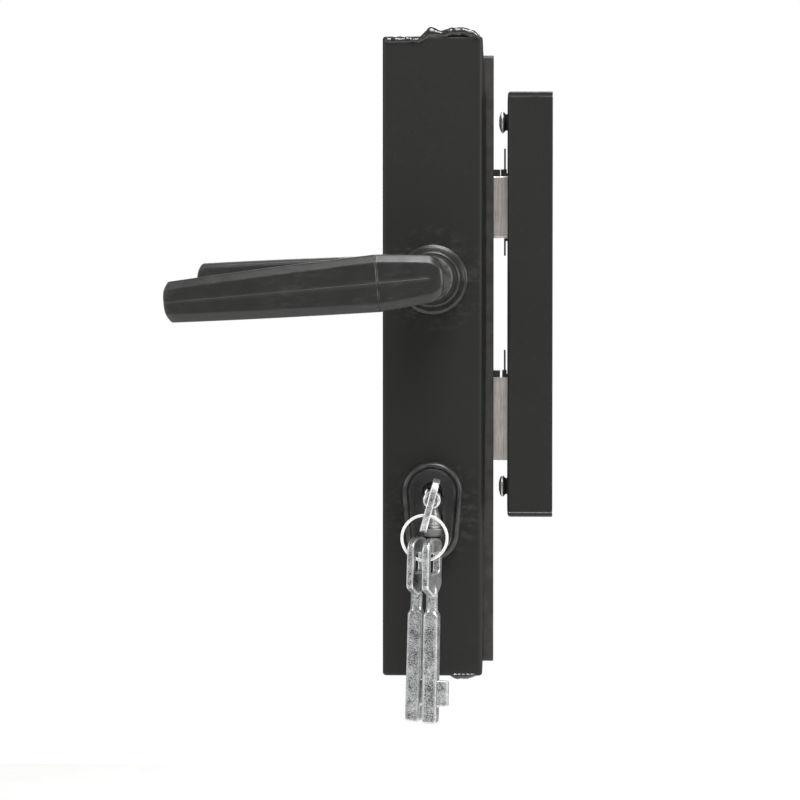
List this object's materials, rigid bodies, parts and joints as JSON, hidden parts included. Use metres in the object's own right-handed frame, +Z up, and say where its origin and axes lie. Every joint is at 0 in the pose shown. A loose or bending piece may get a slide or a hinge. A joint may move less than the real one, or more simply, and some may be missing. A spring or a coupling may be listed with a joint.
{
  "type": "weld-in gate lock with keep",
  "caption": "Square weld-in gate lock box with lever handles, sprung latch, keyed dead bolt and matching keep, with hanging keys.",
  "frame": {"origin": "centre of the lock box's bottom face, where the gate's stile is welded on", "axes": "+Z up along the stile, +X from the gate's stile to the gate post, +Y through the gate, away from the key side"},
  "size_m": [0.1505, 0.15, 0.2747],
  "materials": {
    "powder_coat": "satin powder coat, faint orange peel",
    "black_paint": "thin satin black paint",
    "case_steel": "zinc plated pressed steel",
    "zinc_screw": "bright zinc",
    "black_plastic": "satin moulded black plastic",
    "lever_nylon": "satin moulded dark grey nylon",
    "bolt_nickel": "brushed nickel with a warm tint",
    "spring_steel": "drawn wire",
    "bright_plate": "bright nickel plate",
    "ward_brass": "dull brass",
    "key_zinc": "grainy cast zinc alloy, satin",
    "ring_steel": "bright nickel plated wire"
  },
  "bodies": {
    "root": {"lock_box": "powder_coat", "top_cap": "powder_coat", "bottom_cap": "powder_coat", "top_weld_bead": "powder_coat", "bottom_weld_bead": "powder_coat", "forend": "black_paint", "case_tray": "case_steel", "case_cover": "case_steel", "case_screws": "case_steel", "forend_screws": "zinc_screw", "keep_screws": "zinc_screw", "latch_guide": "black_plastic", "bolt_guide": "black_plastic", "front_rosette": "black_plastic", "rear_rosette": "black_plastic", "front_bush": "black_plastic", "rear_bush": "black_plastic", "front_escutcheon": "black_plastic", "rear_escutcheon": "black_plastic", "front_key_guide": "bright_plate", "rear_key_guide": "bright_plate", "front_ward_block": "ward_brass", "rear_ward_block": "ward_brass", "keep_channel": "powder_coat", "keep_top_plate": "powder_coat", "keep_bottom_plate": "powder_coat", "latch_strike": "black_paint", "bolt_strike": "black_paint", "keep_washers": "black_paint", "latch_spring": "spring_steel", "return_spring": "spring_steel", "tumbler_spring": "spring_steel"},
    "lever": {"front_lever": "lever_nylon", "rear_lever": "lever_nylon", "spindle": "case_steel", "follower": "case_steel", "grub_screws": "zinc_screw"},
    "latch": {"latch_bolt": "bolt_nickel"},
    "dead_bolt": {"dead_bolt": "bolt_nickel"},
    "tumblers": {"tumbler_levers": "case_steel"},
    "key": {"lock_key": "key_zinc"},
    "ring": {"key_ring": "ring_steel"},
    "left_key": {"left_spare_key": "key_zinc"},
    "right_key": {"right_spare_key": "key_zinc"}
  },
  "joints": [
    {"name": "lever_turn", "type": "hinge", "parent": "root", "child": "lever", "pos_m": [0, 0, 0.159], "axis": [0, -1, 0], "range_deg": [0, 35], "stiffness_Nm_per_rad": 1, "springref_deg": -14.32, "deforming": ["return_spring"]},
    {"name": "latch_slide", "type": "slide", "parent": "root", "child": "latch", "axis": [-1, 0, 0], "range_m": [0, 0.012], "stiffness_N_per_m": 150, "springref_m": -0.02, "deforming": ["latch_spring"]},
    {"name": "key_turn", "type": "hinge", "parent": "root", "child": "key", "pos_m": [0, 0, 0.0715], "axis": [0, -1, 0], "range_deg": [0, 120]},
    {"name": "bolt_slide", "type": "slide", "parent": "root", "child": "dead_bolt", "axis": [-1, 0, 0], "range_m": [0, 0.012]},
    {"name": "tumbler_lift", "type": "hinge", "parent": "root", "child": "tumblers", "pos_m": [-0.011, 0, 0.098], "axis": [0, -1, 0], "range_deg": [0, 3], "stiffness_Nm_per_rad": 0.05, "springref_deg": -17.19, "deforming": ["tumbler_spring"]},
    {"name": "ring_swing", "type": "hinge", "parent": "key", "child": "ring", "pos_m": [-0.0024, -0.052, 0.0662], "axis": [0, -1, 0], "range_deg": [-10, 5]},
    {"name": "left_key_swing", "type": "hinge", "parent": "ring", "child": "left_key", "pos_m": [-0.0067, -0.052, 0.0508], "axis": [-1, 0, 0], "range_deg": [-12, 0]},
    {"name": "right_key_swing", "type": "hinge", "parent": "ring", "child": "right_key", "pos_m": [0.0008, -0.052, 0.0506], "axis": [-1, 0, 0], "range_deg": [0, 16]}
  ],
  "couplings": [
    {"joint": "latch_slide", "follows": "lever_turn", "m_per_rad": 0.01964},
    {"joint": "key_turn", "follows": "bolt_slide", "rad_per_m": 174.5}
  ]
}
